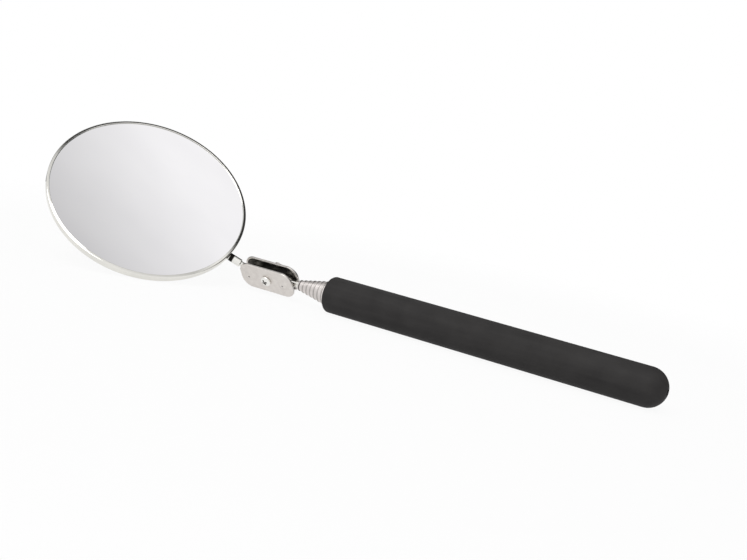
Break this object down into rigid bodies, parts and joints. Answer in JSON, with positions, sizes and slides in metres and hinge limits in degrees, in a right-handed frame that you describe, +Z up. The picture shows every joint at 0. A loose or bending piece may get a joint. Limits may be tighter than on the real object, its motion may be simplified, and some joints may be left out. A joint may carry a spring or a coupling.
{
  "type": "telescoping inspection mirror",
  "caption": "Round mirror in a steel cup on a stem, joined by a clamped double ball joint to a telescoping rod that closes into a black vinyl grip.",
  "frame": {"origin": "middle of the bottom of the bounding box, on the surface that the grip and the mirror rim lie on", "axes": "+X along the rod towards the rear of the grip, +Z up"},
  "size_m": [0.2564, 0.0752, 0.0577],
  "materials": {
    "vinyl_grip": "matte black dipped vinyl",
    "nylon_plug": "moulded black nylon",
    "polished_steel": "polished plated steel",
    "nickel_plate": "satin nickel-plated steel",
    "tube_steel": "satin drawn tube",
    "bush_brass": "plain brass",
    "foam_pad": "closed-cell foam",
    "silvered_glass": "back-silvered glass"
  },
  "bodies": {
    "grip": {"grip_sleeve": "vinyl_grip", "tube_1": "tube_steel", "rear_plug": "nylon_plug"},
    "section_2": {"tube_2": "tube_steel", "friction_bush_2": "bush_brass"},
    "section_3": {"tube_3": "tube_steel", "friction_bush_3": "bush_brass"},
    "section_4": {"tube_4": "tube_steel", "friction_bush_4": "bush_brass"},
    "section_5": {"tube_5": "tube_steel", "friction_bush_5": "bush_brass"},
    "section_6": {"tube_6": "tube_steel", "friction_bush_6": "bush_brass"},
    "section_7": {"tube_7": "tube_steel", "friction_bush_7": "bush_brass"},
    "rod_stud": {"rod_ball_stud": "polished_steel"},
    "joint_plates": {"joint_plate_front": "nickel_plate", "joint_plate_rear": "nickel_plate", "joint_screw": "polished_steel", "lock_nut": "nickel_plate"},
    "mirror_pivot": {"mirror_ball": "polished_steel"},
    "mirror_head": {"mirror_stem": "polished_steel", "stem_saddle": "nickel_plate", "mirror_cup": "polished_steel", "backing_pad": "foam_pad", "mirror_glass": "silvered_glass"}
  },
  "joints": [
    {"name": "section_2_slide", "type": "slide", "parent": "grip", "child": "section_2", "axis": [-1, 0, 0], "range_m": [0, 0.11]},
    {"name": "section_3_slide", "type": "slide", "parent": "section_2", "child": "section_3", "axis": [-1, 0, 0], "range_m": [0, 0.11]},
    {"name": "section_4_slide", "type": "slide", "parent": "section_3", "child": "section_4", "axis": [-1, 0, 0], "range_m": [0, 0.11]},
    {"name": "section_5_slide", "type": "slide", "parent": "section_4", "child": "section_5", "axis": [-1, 0, 0], "range_m": [0, 0.11]},
    {"name": "section_6_slide", "type": "slide", "parent": "section_5", "child": "section_6", "axis": [-1, 0, 0], "range_m": [0, 0.11]},
    {"name": "section_7_slide", "type": "slide", "parent": "section_6", "child": "section_7", "axis": [-1, 0, 0], "range_m": [0, 0.11]},
    {"name": "rod_spin", "type": "hinge", "parent": "section_7", "child": "rod_stud", "pos_m": [-0.03295, 0.02276, 0.0073], "axis": [-1, 0, 0], "continuous": true},
    {"name": "plate_swing", "type": "hinge", "parent": "rod_stud", "child": "joint_plates", "pos_m": [-0.03295, 0.02276, 0.0073], "axis": [0, -0.788, -0.6157], "range_deg": [-90, 90]},
    {"name": "mirror_swing", "type": "hinge", "parent": "joint_plates", "child": "mirror_pivot", "pos_m": [-0.04975, 0.02276, 0.0073], "axis": [0, 0.788, 0.6157], "range_deg": [-122, 58]},
    {"name": "mirror_spin", "type": "hinge", "parent": "mirror_pivot", "child": "mirror_head", "pos_m": [-0.04975, 0.02276, 0.0073], "axis": [-0.8441, -0.4003, 0.3567], "continuous": true}
  ]
}
